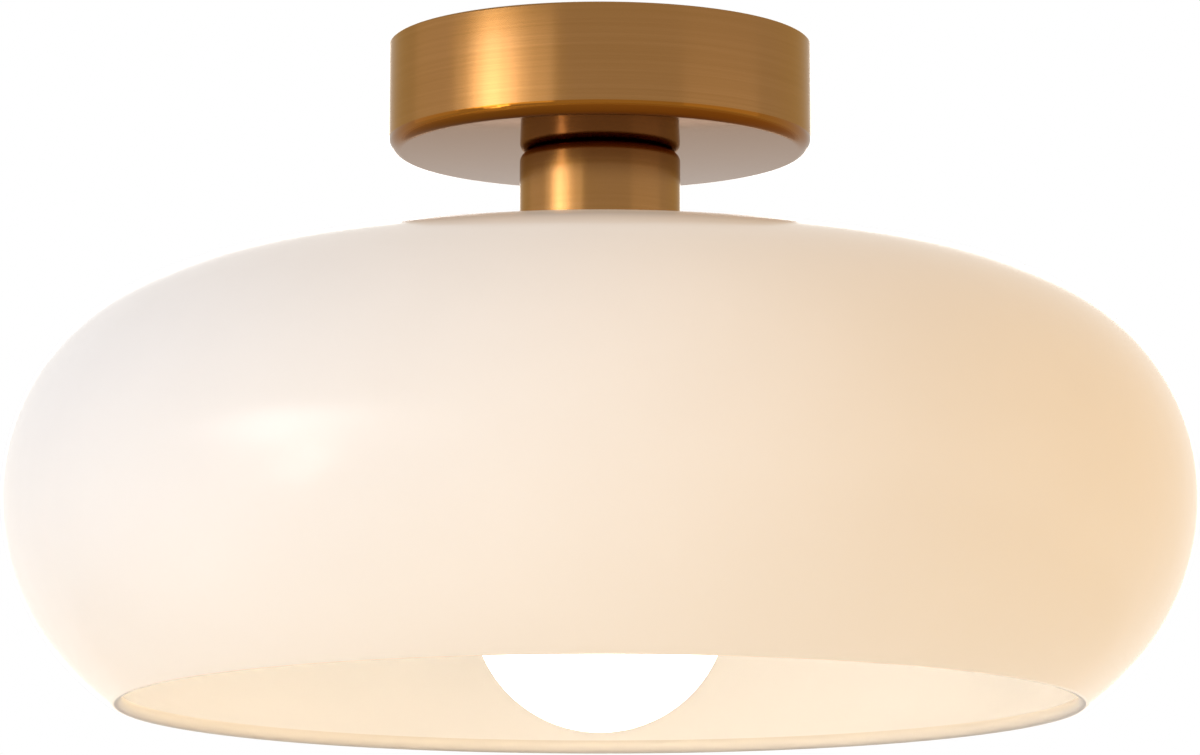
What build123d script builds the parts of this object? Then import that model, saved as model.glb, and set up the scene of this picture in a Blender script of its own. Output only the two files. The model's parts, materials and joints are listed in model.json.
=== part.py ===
from build123d import *

import math
import os

# Flush mount ceiling light: brass canopy and cup, opal glass shade, screw socket and bulb.
# Millimetres, +Z up. The origin is on the ceiling plane, at the centre of the canopy,
# so the whole light hangs below z = 0.

# Canopy, the shallow drum against the ceiling
CANOPY_RADIUS = 50.0
CANOPY_HEIGHT = 26.0
CANOPY_WALL = 1.0
CANOPY_EDGE = 3.0

# Cup, the short brass stem between the canopy and the glass
CUP_RADIUS = 19.0
CUP_HEIGHT = 20.0
CUP_WALL = 1.0
CUP_EDGE = 2.4

# Opal glass shade: a crown arc, a side arc and a lower arc that meet at tangents
SHADE_RADIUS = 140.0
SHADE_RIM_TO_EQUATOR = 48.5
SHADE_CROWN_RADIUS = 427.0
SHADE_SIDE_RADIUS = 52.5
SHADE_LOWER_RADIUS = 58.0
SHADE_WALL = 3.5
NECK_HOLE_RADIUS = 17.5
NECK_TOP_SEAT = 20.5
NECK_UNDER_SEAT = 27.5
GASKET_THICKNESS = 1.0

# Mounting strap
STRAP_LENGTH = 94.0
STRAP_WIDTH = 22.0
STRAP_THICKNESS = 2.0
STRAP_DROP = 5.0
STRAP_FLAT_LENGTH = 56.0
STRAP_RAMP = 3.0
SLOT_SPACING = 76.6
SLOT_LENGTH = 11.5
SLOT_RADIUS = 2.4

# Hollow threaded tube that carries everything, with its nuts
TUBE_RADIUS = 5.0
TUBE_BORE = 3.5
TUBE_TOP_GAP = 1.5
TUBE_FIT = 0.06
NUT_FLATS = 14.0
NUT_HEIGHT = 3.0
LOCK_WASHER_RADIUS = 8.0
LOCK_WASHER_THICKNESS = 0.6
WIRE_SLOT_WIDTH = 6.0
WIRE_SLOT_HEIGHT = 7.0
WIRE_SLOT_MARGIN = 1.0

# Earth screw on the strap
EARTH_X = -19.0
EARTH_SHANK_RADIUS = 2.0
EARTH_HEAD_RADIUS = 4.0
EARTH_HEAD_HEIGHT = 2.6
EARTH_WASHER_RADIUS = 4.8
EARTH_WASHER_THICKNESS = 0.8
SCREW_FIT = 0.05
DRIVE_SLOT_WIDTH = 1.0
DRIVE_SLOT_DEPTH = 1.0
SMALL_SLOT = 0.6
OVERCUT = 1.0

# Two-pole terminal block under the strap
BLOCK_X = 12.5
BLOCK_LENGTH = 14.0
BLOCK_WIDTH = 18.0
BLOCK_HEIGHT = 13.0
BLOCK_EDGE = 1.0
POLE_SPACING = 9.0
POLE_DEPTH = 6.0
POLE_RADIUS = 2.6
POLE_BORE = 1.5
POLE_FIT = 0.05
CLAMP_SCREW_RADIUS = 1.3
CLAMP_SCREW_SPACING = 7.0
CLAMP_WELL_RADIUS = 1.9
BLOCK_SCREW_RADIUS = 1.5
BLOCK_SCREW_HEAD = 2.2
BLOCK_SCREW_HEAD_HEIGHT = 1.8

# Wires between the terminal block and the socket
WIRE_RADIUS = 1.0
WIRE_SPREAD = 1.3
WIRE_BEND = 3.2
WIRE_STRAIGHT = 1.5
WIRE_LEAD_IN = 0.6

# Socket
CAP_RADIUS = 16.8
CAP_WALL = 1.6
CAP_TOP = 5.0
WIRING_SPACE = 7.0
CORE_HEIGHT = 10.0
CAP_OVERLAP = 4.0
SOCKET_CLEARANCE = 0.1
SLEEVE_WALL = 0.8
SKIRT_RADIUS = 15.8
SKIRT_LIP = 1.0
TERMINAL_OFFSET = 9.0
TERMINAL_SCREW_RADIUS = 2.4
TERMINAL_SCREW_HEIGHT = 2.0
TERMINAL_SHANK_RADIUS = 1.4
TERMINAL_SHANK_LENGTH = 5.0
CONTACT_WIDTH = 5.0
CONTACT_THICKNESS = 0.4
CONTACT_BACK = 9.0
CONTACT_FOLD = 6.0
CONTACT_TONGUE = 3.0
CONTACT_DROP = 2.8
CONTACT_GAP = 0.1
RIVET_OFFSET = 11.9
RIVET_HEAD_RADIUS = 1.2
RIVET_HEAD_HEIGHT = 0.8
RIVET_RADIUS = 0.8
RIVET_LENGTH = 3.5

# Edison screw: bulb shell in socket shell, seven turns to the inch
SCREW_PITCH = 25.4 / 7
SCREW_CORE_RADIUS = 12.35
SCREW_CREST_RADIUS = 13.15
SHELL_BORE_RADIUS = 13.45
SHELL_CREST_RADIUS = 12.65
SHELL_WALL = 0.5
SHELL_LENGTH = 27.0
SHELL_FLANGE_BORE = 10.4
CREST_HALF_WIDTH = 0.45
ROOT_HALF_WIDTH = 1.0
THREAD_BITE = 0.15

# Shade ring, screwed on the socket skirt
RING_PITCH = 3.0
RING_MALE_CREST = 16.6
RING_BORE = 16.95
RING_FEMALE_CREST = 16.15
RING_CREST_HALF_WIDTH = 0.3
RING_ROOT_HALF_WIDTH = 0.7
RING_RADIUS = 26.0
RING_FLANGE = 2.5
RING_HEIGHT = 8.5
RING_COLLAR_WALL = 2.6
RING_GRIPS = 24
RING_GRIP_RADIUS = 1.3

# Bulb
BULB_RADIUS = 30.0
BULB_WALL = 1.0
DIFFUSER_ABOVE_CENTRE = 15.0
HOUSING_WALL = 1.4
HOUSING_NECK_RADIUS = 14.2
HOUSING_NECK_LENGTH = 15.6
HOUSING_PLUG_LENGTH = 8.0
HOUSING_SWEEP = 35.0
BASE_LENGTH = 27.0
BASE_WALL = 0.5
BASE_SHOULDER = 2.5
INSULATOR_RADIUS = 9.0
INSULATOR_HEIGHT = 1.9
INSULATOR_PLUG = 1.4
TIP_RADIUS = 4.6
TIP_HEIGHT = 1.0
TIP_CHAMFER = 0.5
PIECE_GAP = 0.05
LED_BOARD_THICKNESS = 1.2
LED_BOARD_CLEARANCE = 0.2
LEDGE_WIDTH = 2.5
LED_COUNT = 12
LED_CIRCLE = 16.0
LED_SIDE = 2.8
LED_HEIGHT = 0.7
DRIVER_WIDTH = 18.0
DRIVER_LENGTH = 24.0
DRIVER_THICKNESS = 1.2
DRIVER_CAN_RADIUS = 4.0
DRIVER_CAN_LENGTH = 9.0
DRIVER_CAN_LIFT = 4.0

# Levels worked out from the sizes above
CUP_TOP_Z = -CANOPY_HEIGHT
CUP_BOTTOM_Z = CUP_TOP_Z - CUP_HEIGHT
NECK_TOP_Z = CUP_BOTTOM_Z - GASKET_THICKNESS

SIDE_CENTRE_R = SHADE_RADIUS - SHADE_SIDE_RADIUS
LOWER_CENTRE_R = SHADE_RADIUS - SHADE_LOWER_RADIUS
CROWN_TO_EQUATOR = math.sqrt((SHADE_CROWN_RADIUS - SHADE_SIDE_RADIUS) ** 2 - SIDE_CENTRE_R**2)
CROWN_CENTRE_Z = NECK_TOP_Z - math.sqrt(SHADE_CROWN_RADIUS**2 - NECK_TOP_SEAT**2)
EQUATOR_Z = CROWN_CENTRE_Z + CROWN_TO_EQUATOR
RIM_Z = EQUATOR_Z - SHADE_RIM_TO_EQUATOR
CROWN_INNER_RADIUS = SHADE_CROWN_RADIUS - SHADE_WALL
NECK_UNDER_Z = CROWN_CENTRE_Z + math.sqrt(CROWN_INNER_RADIUS**2 - NECK_UNDER_SEAT**2)
RING_TOP_Z = NECK_UNDER_Z - GASKET_THICKNESS

STRAP_FLAT_TOP_Z = -STRAP_DROP
STRAP_FLAT_UNDER_Z = STRAP_FLAT_TOP_Z - STRAP_THICKNESS
BLOCK_TOP_Z = STRAP_FLAT_UNDER_Z
BLOCK_BOTTOM_Z = BLOCK_TOP_Z - BLOCK_HEIGHT
POLE_Z = BLOCK_TOP_Z - POLE_DEPTH

CUP_NUT_TOP_Z = CUP_TOP_Z - CUP_WALL - LOCK_WASHER_THICKNESS
CAP_TOP_Z = CUP_NUT_TOP_Z - NUT_HEIGHT
CAP_INSIDE_Z = CAP_TOP_Z - CAP_TOP
CORE_TOP_Z = CAP_INSIDE_Z - WIRING_SPACE
CORE_BOTTOM_Z = CORE_TOP_Z - CORE_HEIGHT
SHELL_BOTTOM_Z = CORE_BOTTOM_Z - SHELL_LENGTH
SKIRT_BOTTOM_Z = SHELL_BOTTOM_Z - SKIRT_LIP
CAP_BOTTOM_Z = CORE_TOP_Z - CAP_OVERLAP
CAP_BORE = CAP_RADIUS - CAP_WALL
SLEEVE_RADIUS = CAP_BORE - SOCKET_CLEARANCE
SLEEVE_BORE = SLEEVE_RADIUS - SLEEVE_WALL
CORE_RADIUS = SLEEVE_BORE - SOCKET_CLEARANCE
SHELL_RADIUS = SHELL_BORE_RADIUS + SHELL_WALL
SKIRT_BORE = SHELL_RADIUS + SOCKET_CLEARANCE

SHELL_THREAD_Z = SHELL_BOTTOM_Z + ROOT_HALF_WIDTH
SKIRT_THREAD_Z = SKIRT_BOTTOM_Z + RING_ROOT_HALF_WIDTH

TIP_TOP_Z = CORE_BOTTOM_Z - CONTACT_DROP - CONTACT_GAP
TIP_BOTTOM_Z = TIP_TOP_Z - TIP_HEIGHT
BASE_TOP_Z = TIP_BOTTOM_Z - INSULATOR_HEIGHT
BASE_BOTTOM_Z = TIP_TOP_Z - BASE_LENGTH
SEAM_ANGLE = math.asin(DIFFUSER_ABOVE_CENTRE / BULB_RADIUS)
SEAM_RADIUS = BULB_RADIUS * math.cos(SEAM_ANGLE)
SEAM_INNER_RADIUS = SEAM_RADIUS - HOUSING_WALL / math.cos(SEAM_ANGLE)
HOUSING_CORNER_Z = BASE_BOTTOM_Z - HOUSING_NECK_LENGTH
DIFFUSER_TOP_Z = HOUSING_CORNER_Z - (SEAM_RADIUS - HOUSING_NECK_RADIUS) / math.tan(SEAM_ANGLE)
BULB_CENTRE_Z = DIFFUSER_TOP_Z - DIFFUSER_ABOVE_CENTRE


def place(radius, angle, height):
    """A point on the XZ half plane, as a vector."""
    return Vector(radius * math.cos(angle), 0, height + radius * math.sin(angle))


def profile_arc(centre_r, centre_z, radius, start, end):
    """An arc of the half plane about (centre_r, centre_z), between two angles."""
    shift = Vector(centre_r, 0, 0)
    middle = (start + end) / 2
    return ThreePointArc(*[shift + place(radius, angle, centre_z) for angle in (start, middle, end)])


def lathe(*corners):
    """A solid turned about the Z axis from the (radius, height) corners of its section."""
    outline = Polyline(*[(radius, 0, height) for radius, height in corners], close=True)
    return revolve(make_face(outline), axis=Axis.Z)


def turned(edges):
    """A solid turned about the Z axis from a closed run of edges."""
    return revolve(make_face(Wire(edges)), axis=Axis.Z)


def tube(inner, outer, bottom, top):
    """A plain ring or tube about the Z axis."""
    return lathe((inner, bottom), (outer, bottom), (outer, top), (inner, top))


def disc(radius, bottom, top, x=0.0, y=0.0):
    """An upright cylinder."""
    return Pos(x, y, bottom) * Cylinder(radius, top - bottom, align=(Align.CENTER, Align.CENTER, Align.MIN))


def block(length, width, bottom, top, x=0.0, y=0.0):
    """An upright box centred on x and y."""
    return Pos(x, y, bottom) * Box(length, width, top - bottom, align=(Align.CENTER, Align.CENTER, Align.MIN))


def hex_nut(bottom, top):
    """A hexagon nut on the threaded tube."""
    outline = RegularPolygon(NUT_FLATS / 2, 6, major_radius=False)
    nut = Pos(0, 0, bottom) * extrude(outline, top - bottom)
    return nut - disc(TUBE_RADIUS + TUBE_FIT, bottom, top)


def thread_ridge(root, crest, root_half, crest_half, pitch, bottom, top, datum):
    """A right-hand helical ridge, a trapezium in section, in step with one that starts at datum."""
    phase = 360 * (bottom - datum) / pitch
    path = Helix(pitch, top - bottom, root)
    section = Polyline(
        (root, 0, -root_half), (crest, 0, -crest_half), (crest, 0, crest_half), (root, 0, root_half), close=True
    )
    ridge = sweep(make_face(section), path=path, is_frenet=True)
    return Pos(0, 0, bottom) * Rot(0, 0, phase) * ridge


def mounting_strap():
    """A bent steel strap: its ends lie on the ceiling and its middle is dropped for the nut."""
    half, flat = STRAP_LENGTH / 2, STRAP_FLAT_LENGTH / 2
    ramp = flat + STRAP_RAMP
    lean = STRAP_THICKNESS * (math.hypot(STRAP_RAMP, STRAP_DROP) - STRAP_RAMP) / STRAP_DROP
    top = [(-half, 0), (-ramp, 0), (-flat, -STRAP_DROP), (flat, -STRAP_DROP), (ramp, 0), (half, 0)]
    under = [
        (half, -STRAP_THICKNESS),
        (ramp - lean, -STRAP_THICKNESS),
        (flat - lean, STRAP_FLAT_UNDER_Z),
        (lean - flat, STRAP_FLAT_UNDER_Z),
        (lean - ramp, -STRAP_THICKNESS),
        (-half, -STRAP_THICKNESS),
    ]
    outline = Polyline(*[(x, 0, z) for x, z in top + under], close=True)
    strap = extrude(make_face(outline), STRAP_WIDTH / 2, both=True)
    strap &= disc(half, STRAP_FLAT_UNDER_Z, 0)
    for side in (-1, 1):
        slot = SlotOverall(SLOT_LENGTH, 2 * SLOT_RADIUS)
        strap -= Pos(side * SLOT_SPACING / 2, 0, -STRAP_THICKNESS) * extrude(slot, STRAP_THICKNESS)
    strap -= disc(TUBE_RADIUS + TUBE_FIT, STRAP_FLAT_UNDER_Z, STRAP_FLAT_TOP_Z)
    strap -= disc(EARTH_SHANK_RADIUS + SCREW_FIT, STRAP_FLAT_UNDER_Z, STRAP_FLAT_TOP_Z, EARTH_X)
    block_middle = BLOCK_X + BLOCK_LENGTH / 2
    strap -= disc(BLOCK_SCREW_RADIUS + SCREW_FIT, STRAP_FLAT_UNDER_Z, STRAP_FLAT_TOP_Z, block_middle)
    return strap


def earth_washer():
    top = STRAP_FLAT_UNDER_Z
    washer = disc(EARTH_WASHER_RADIUS, top - EARTH_WASHER_THICKNESS, top, EARTH_X)
    return washer - disc(EARTH_SHANK_RADIUS + SCREW_FIT, top - EARTH_WASHER_THICKNESS, top, EARTH_X)


def slotted_screw(x, y, seat, head_radius, head_height, shank_radius, shank_length):
    """A pan head screw driven upwards, its head below the seat."""
    bottom = seat - head_height
    screw = disc(head_radius, bottom, seat, x, y) + disc(shank_radius, seat, seat + shank_length, x, y)
    slot = block(2 * head_radius + OVERCUT, DRIVE_SLOT_WIDTH, bottom, bottom + DRIVE_SLOT_DEPTH, x, y)
    return screw - slot


def earth_screw():
    seat = STRAP_FLAT_UNDER_Z - EARTH_WASHER_THICKNESS
    length = EARTH_WASHER_THICKNESS + STRAP_THICKNESS
    return slotted_screw(EARTH_X, 0, seat, EARTH_HEAD_RADIUS, EARTH_HEAD_HEIGHT, EARTH_SHANK_RADIUS, length)


def threaded_tube():
    """The hollow tube, with a slot in its side where the wires leave for the terminal block."""
    stem = tube(TUBE_BORE, TUBE_RADIUS, CAP_INSIDE_Z, -TUBE_TOP_GAP)
    slot_top = POLE_Z + WIRE_RADIUS + WIRE_SLOT_MARGIN
    slot = block(2 * TUBE_RADIUS, WIRE_SLOT_WIDTH, slot_top - WIRE_SLOT_HEIGHT, slot_top, TUBE_RADIUS)
    return stem - slot


def canopy():
    """The spun drum: open towards the ceiling, with a rounded lower edge."""
    shell = disc(CANOPY_RADIUS, -CANOPY_HEIGHT, 0)
    shell = fillet(shell.edges().group_by(Axis.Z)[0], CANOPY_EDGE)
    inside = disc(CANOPY_RADIUS - CANOPY_WALL, CANOPY_WALL - CANOPY_HEIGHT, 0)
    inside = fillet(inside.edges().group_by(Axis.Z)[0], CANOPY_EDGE - CANOPY_WALL)
    hole = disc(TUBE_RADIUS + TUBE_FIT, -CANOPY_HEIGHT, CANOPY_WALL - CANOPY_HEIGHT)
    return shell - inside - hole


def socket_cup():
    """The brass cup under the canopy: rounded top edge, open below."""
    shell = disc(CUP_RADIUS, CUP_BOTTOM_Z, CUP_TOP_Z)
    shell = fillet(shell.edges().group_by(Axis.Z)[-1], CUP_EDGE)
    inside = disc(CUP_RADIUS - CUP_WALL, CUP_BOTTOM_Z, CUP_TOP_Z - CUP_WALL)
    inside = fillet(inside.edges().group_by(Axis.Z)[-1], CUP_EDGE - CUP_WALL)
    hole = disc(TUBE_RADIUS + TUBE_FIT, CUP_TOP_Z - CUP_WALL, CUP_TOP_Z)
    return shell - inside - hole


def terminal_poles():
    """Y of each pole of the terminal block."""
    return (-POLE_SPACING / 2, POLE_SPACING / 2)


def clamp_places():
    """X and Y of each clamping screw."""
    middle = BLOCK_X + BLOCK_LENGTH / 2
    reach = CLAMP_SCREW_SPACING / 2
    return [(middle + side * reach, y) for y in terminal_poles() for side in (-1, 1)]


def along_x(radius, start, end, y, z):
    """A cylinder lying along X."""
    rod = Cylinder(radius, end - start, align=(Align.CENTER, Align.CENTER, Align.MIN))
    return Pos(start, y, z) * Rot(0, 90, 0) * rod


def terminal_block():
    """The insulating body, bored for its brass poles and their screws."""
    middle = BLOCK_X + BLOCK_LENGTH / 2
    body = block(BLOCK_LENGTH, BLOCK_WIDTH, BLOCK_BOTTOM_Z, BLOCK_TOP_Z, middle)
    body = fillet(body.edges().filter_by(Axis.Z), BLOCK_EDGE)
    for y in terminal_poles():
        body -= along_x(POLE_RADIUS + POLE_FIT, BLOCK_X, BLOCK_X + BLOCK_LENGTH, y, POLE_Z)
    for x, y in clamp_places():
        body -= disc(CLAMP_WELL_RADIUS, BLOCK_BOTTOM_Z, POLE_Z, x, y)
    body -= disc(BLOCK_SCREW_RADIUS + SCREW_FIT, BLOCK_BOTTOM_Z, BLOCK_TOP_Z, middle)
    return body


def terminal_tubes():
    """Two brass poles, each a short tube with a pair of tapped holes."""
    tubes = []
    for pole_y in terminal_poles():
        pole = along_x(POLE_RADIUS, BLOCK_X, BLOCK_X + BLOCK_LENGTH, pole_y, POLE_Z)
        pole -= along_x(POLE_BORE, BLOCK_X, BLOCK_X + BLOCK_LENGTH, pole_y, POLE_Z)
        for x, y in clamp_places():
            if y == pole_y:
                pole -= disc(CLAMP_SCREW_RADIUS + SCREW_FIT, BLOCK_BOTTOM_Z, POLE_Z, x, y)
        tubes.append(pole)
    return Compound(tubes)


def clamp_screws():
    """Four small screws that close on the wires from below."""
    tip = POLE_Z - WIRE_RADIUS - SCREW_FIT
    screws = []
    for x, y in clamp_places():
        screw = disc(CLAMP_SCREW_RADIUS, BLOCK_BOTTOM_Z, tip, x, y)
        slot = block(2 * CLAMP_SCREW_RADIUS + OVERCUT, SMALL_SLOT, BLOCK_BOTTOM_Z, BLOCK_BOTTOM_Z + SMALL_SLOT, x, y)
        screws.append(screw - slot)
    return Compound(screws)


def block_screw():
    """The screw that holds the terminal block to the strap."""
    middle = BLOCK_X + BLOCK_LENGTH / 2
    length = BLOCK_HEIGHT + STRAP_THICKNESS
    return slotted_screw(
        middle, 0, BLOCK_BOTTOM_Z, BLOCK_SCREW_HEAD, BLOCK_SCREW_HEAD_HEIGHT, BLOCK_SCREW_RADIUS, length
    )


def wire(side):
    """An insulated wire: terminal block, tube side slot, down the tube, out to a socket screw."""
    pole_y = side * POLE_SPACING / 2
    tube_y = side * WIRE_SPREAD
    floor = CORE_TOP_Z + TERMINAL_SCREW_HEIGHT + WIRE_RADIUS
    route = [
        (BLOCK_X + BLOCK_LENGTH - CLAMP_SCREW_SPACING / 2, pole_y, POLE_Z),
        (BLOCK_X - WIRE_STRAIGHT, pole_y, POLE_Z),
        (TUBE_RADIUS + WIRE_LEAD_IN, tube_y, POLE_Z),
        (0, tube_y, POLE_Z),
        (0, tube_y, floor),
        (0, side * (TERMINAL_OFFSET + TERMINAL_SCREW_RADIUS), floor),
    ]
    path = FilletPolyline(*route, radius=WIRE_BEND)
    section = Plane(origin=path @ 0, z_dir=path % 0) * Circle(WIRE_RADIUS)
    return sweep(section, path=path)


def socket_cap():
    """The moulded cap of the socket, screwed on the end of the tube."""
    bore = TUBE_RADIUS + TUBE_FIT
    cap = lathe(
        (bore, CAP_INSIDE_Z),
        (CAP_BORE, CAP_INSIDE_Z),
        (CAP_BORE, CAP_BOTTOM_Z),
        (CAP_RADIUS, CAP_BOTTOM_Z),
        (CAP_RADIUS, CAP_TOP_Z),
        (bore, CAP_TOP_Z),
    )
    return fillet(cap.edges().group_by(Axis.Z)[-1].sort_by(SortBy.RADIUS)[-1:], CAP_WALL)


def terminal_sides():
    """Which side of the core each terminal screw stands on."""
    return (-1, 1)


def socket_core():
    """The porcelain core, which holds the terminal screws above and the contacts below."""
    core = disc(CORE_RADIUS, CORE_BOTTOM_Z, CORE_TOP_Z)
    for side in terminal_sides():
        y = side * TERMINAL_OFFSET
        core -= disc(TERMINAL_SHANK_RADIUS + SCREW_FIT, CORE_TOP_Z - TERMINAL_SHANK_LENGTH, CORE_TOP_Z, 0, y)
        rivet_top = CORE_BOTTOM_Z + RIVET_LENGTH
        core -= disc(RIVET_RADIUS + SCREW_FIT, CORE_BOTTOM_Z, rivet_top, 0, side * RIVET_OFFSET)
    return core


def terminal_screws():
    """Two binding screws on the core, one for each wire."""
    screws = []
    for side in terminal_sides():
        y = side * TERMINAL_OFFSET
        head_top = CORE_TOP_Z + TERMINAL_SCREW_HEIGHT
        head = disc(TERMINAL_SCREW_RADIUS, CORE_TOP_Z, head_top, 0, y)
        shank = disc(TERMINAL_SHANK_RADIUS, CORE_TOP_Z - TERMINAL_SHANK_LENGTH, CORE_TOP_Z, 0, y)
        slot = block(2 * TERMINAL_SCREW_RADIUS + OVERCUT, SMALL_SLOT, head_top - SMALL_SLOT, head_top, 0, y)
        screws.append(head + shank - slot)
    return Compound(screws)


def centre_contact():
    """The folded spring strip under the core, which presses on the tip of the bulb."""
    top = CORE_BOTTOM_Z
    low = CORE_BOTTOM_Z - CONTACT_DROP
    inner_fold = CONTACT_FOLD - CONTACT_THICKNESS
    corners = [
        (-CONTACT_BACK, top),
        (CONTACT_FOLD, top),
        (CONTACT_FOLD, low),
        (-CONTACT_TONGUE, low),
        (-CONTACT_TONGUE, low + CONTACT_THICKNESS),
        (inner_fold, low + CONTACT_THICKNESS),
        (inner_fold, top - CONTACT_THICKNESS),
        (-CONTACT_BACK, top - CONTACT_THICKNESS),
    ]
    outline = Polyline(*[(x, 0, z) for x, z in corners], close=True)
    return extrude(make_face(outline), CONTACT_WIDTH / 2, both=True)


def shell_rivets():
    """Two rivets that hold the shell's flange to the core."""
    seat = CORE_BOTTOM_Z - SHELL_WALL
    rivets = []
    for side in terminal_sides():
        y = side * RIVET_OFFSET
        head = disc(RIVET_HEAD_RADIUS, seat - RIVET_HEAD_HEIGHT, seat, 0, y)
        rivets.append(head + disc(RIVET_RADIUS, seat, CORE_BOTTOM_Z + RIVET_LENGTH, 0, y))
    return Compound(rivets)


def screw_shell():
    """The socket's threaded metal shell, with a flange that lies under the core."""
    shell = lathe(
        (SHELL_BORE_RADIUS, SHELL_BOTTOM_Z),
        (SHELL_RADIUS, SHELL_BOTTOM_Z),
        (SHELL_RADIUS, CORE_BOTTOM_Z),
        (SHELL_FLANGE_BORE, CORE_BOTTOM_Z),
        (SHELL_FLANGE_BORE, CORE_BOTTOM_Z - SHELL_WALL),
        (SHELL_BORE_RADIUS, CORE_BOTTOM_Z - SHELL_WALL),
    )
    for side in terminal_sides():
        y = side * RIVET_OFFSET
        shell -= disc(RIVET_RADIUS + SCREW_FIT, CORE_BOTTOM_Z - SHELL_WALL, CORE_BOTTOM_Z, 0, y)
    ridge = thread_ridge(
        SHELL_BORE_RADIUS + THREAD_BITE,
        SHELL_CREST_RADIUS,
        ROOT_HALF_WIDTH,
        CREST_HALF_WIDTH,
        SCREW_PITCH,
        SHELL_THREAD_Z,
        CORE_BOTTOM_Z - SCREW_PITCH,
        SHELL_THREAD_Z,
    )
    return shell + ridge


def socket_skirt():
    """The moulded skirt round the shell, its sleeve inside the cap, threaded outside for the ring."""
    skirt = lathe(
        (SKIRT_BORE, SKIRT_BOTTOM_Z),
        (SKIRT_RADIUS, SKIRT_BOTTOM_Z),
        (SKIRT_RADIUS, CAP_BOTTOM_Z),
        (SLEEVE_RADIUS, CAP_BOTTOM_Z),
        (SLEEVE_RADIUS, CORE_TOP_Z),
        (SLEEVE_BORE, CORE_TOP_Z),
        (SLEEVE_BORE, CORE_BOTTOM_Z),
        (SKIRT_BORE, CORE_BOTTOM_Z),
    )
    ridge = thread_ridge(
        SKIRT_RADIUS - THREAD_BITE,
        RING_MALE_CREST,
        RING_ROOT_HALF_WIDTH,
        RING_CREST_HALF_WIDTH,
        RING_PITCH,
        SKIRT_THREAD_Z,
        RING_TOP_Z,
        SKIRT_THREAD_Z,
    )
    return skirt + ridge


def upper_gasket():
    """The soft ring between the cup and the top of the glass."""
    return tube(NECK_HOLE_RADIUS, CUP_RADIUS, NECK_TOP_Z, CUP_BOTTOM_Z)


def lower_gasket():
    """The soft ring between the underside of the glass and the shade ring."""
    return tube(NECK_HOLE_RADIUS, RING_RADIUS, RING_TOP_Z, NECK_UNDER_Z)


def glass_shade():
    """The blown opal shade: even wall, flat seats at the neck hole, rounded lip at the open bottom."""
    seat = math.acos(NECK_TOP_SEAT / SHADE_CROWN_RADIUS)
    under_seat = math.acos(NECK_UNDER_SEAT / CROWN_INNER_RADIUS)
    shoulder = math.atan2(CROWN_TO_EQUATOR, SIDE_CENTRE_R)
    lip = SHADE_WALL / 2
    middle = SHADE_LOWER_RADIUS - lip
    drop = -math.asin((SHADE_RIM_TO_EQUATOR - lip) / middle)
    lip_r = LOWER_CENTRE_R + middle * math.cos(drop)
    lip_z = EQUATOR_Z + middle * math.sin(drop)
    side_inner = SHADE_SIDE_RADIUS - SHADE_WALL
    lower_inner = SHADE_LOWER_RADIUS - SHADE_WALL
    return turned(
        [
            profile_arc(0, CROWN_CENTRE_Z, SHADE_CROWN_RADIUS, seat, shoulder),
            profile_arc(SIDE_CENTRE_R, EQUATOR_Z, SHADE_SIDE_RADIUS, shoulder, 0),
            profile_arc(LOWER_CENTRE_R, EQUATOR_Z, SHADE_LOWER_RADIUS, 0, drop),
            profile_arc(lip_r, lip_z, lip, drop, drop - math.pi),
            profile_arc(LOWER_CENTRE_R, EQUATOR_Z, lower_inner, drop, 0),
            profile_arc(SIDE_CENTRE_R, EQUATOR_Z, side_inner, 0, shoulder),
            profile_arc(0, CROWN_CENTRE_Z, CROWN_INNER_RADIUS, shoulder, under_seat),
            Line((NECK_UNDER_SEAT, 0, NECK_UNDER_Z), (NECK_HOLE_RADIUS, 0, NECK_UNDER_Z)),
            Line((NECK_HOLE_RADIUS, 0, NECK_UNDER_Z), (NECK_HOLE_RADIUS, 0, NECK_TOP_Z)),
            Line((NECK_HOLE_RADIUS, 0, NECK_TOP_Z), (NECK_TOP_SEAT, 0, NECK_TOP_Z)),
        ]
    )


def shade_ring():
    """The threaded ring that holds the glass up, with grips round its flange."""
    collar = RING_BORE + RING_COLLAR_WALL
    bottom = RING_TOP_Z - RING_HEIGHT
    ring = lathe(
        (RING_BORE, bottom),
        (collar, bottom),
        (collar, RING_TOP_Z - RING_FLANGE),
        (RING_RADIUS, RING_TOP_Z - RING_FLANGE),
        (RING_RADIUS, RING_TOP_Z),
        (RING_BORE, RING_TOP_Z),
    )
    for index in range(RING_GRIPS):
        angle = 2 * math.pi * index / RING_GRIPS
        x = RING_RADIUS * math.cos(angle)
        y = RING_RADIUS * math.sin(angle)
        ring -= disc(RING_GRIP_RADIUS, RING_TOP_Z - RING_FLANGE, RING_TOP_Z, x, y)
    ridge = thread_ridge(
        RING_BORE + THREAD_BITE,
        RING_FEMALE_CREST,
        RING_ROOT_HALF_WIDTH,
        RING_CREST_HALF_WIDTH,
        RING_PITCH,
        bottom + RING_ROOT_HALF_WIDTH,
        RING_TOP_Z - RING_ROOT_HALF_WIDTH,
        SKIRT_THREAD_Z + RING_PITCH / 2,
    )
    return ring + ridge


def bulb_tip():
    """The bulb's centre contact."""
    return lathe(
        (0, TIP_BOTTOM_Z),
        (TIP_RADIUS, TIP_BOTTOM_Z),
        (TIP_RADIUS, TIP_TOP_Z - TIP_CHAMFER),
        (TIP_RADIUS - TIP_CHAMFER, TIP_TOP_Z),
        (0, TIP_TOP_Z),
    )


def bulb_insulator():
    """The dark insulator between the bulb's tip and its shell."""
    plug = INSULATOR_RADIUS - BASE_WALL - PIECE_GAP
    return lathe(
        (0, BASE_TOP_Z - INSULATOR_PLUG),
        (plug, BASE_TOP_Z - INSULATOR_PLUG),
        (plug, BASE_TOP_Z),
        (INSULATOR_RADIUS, BASE_TOP_Z),
        (TIP_RADIUS, TIP_BOTTOM_Z),
        (0, TIP_BOTTOM_Z),
    )


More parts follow.
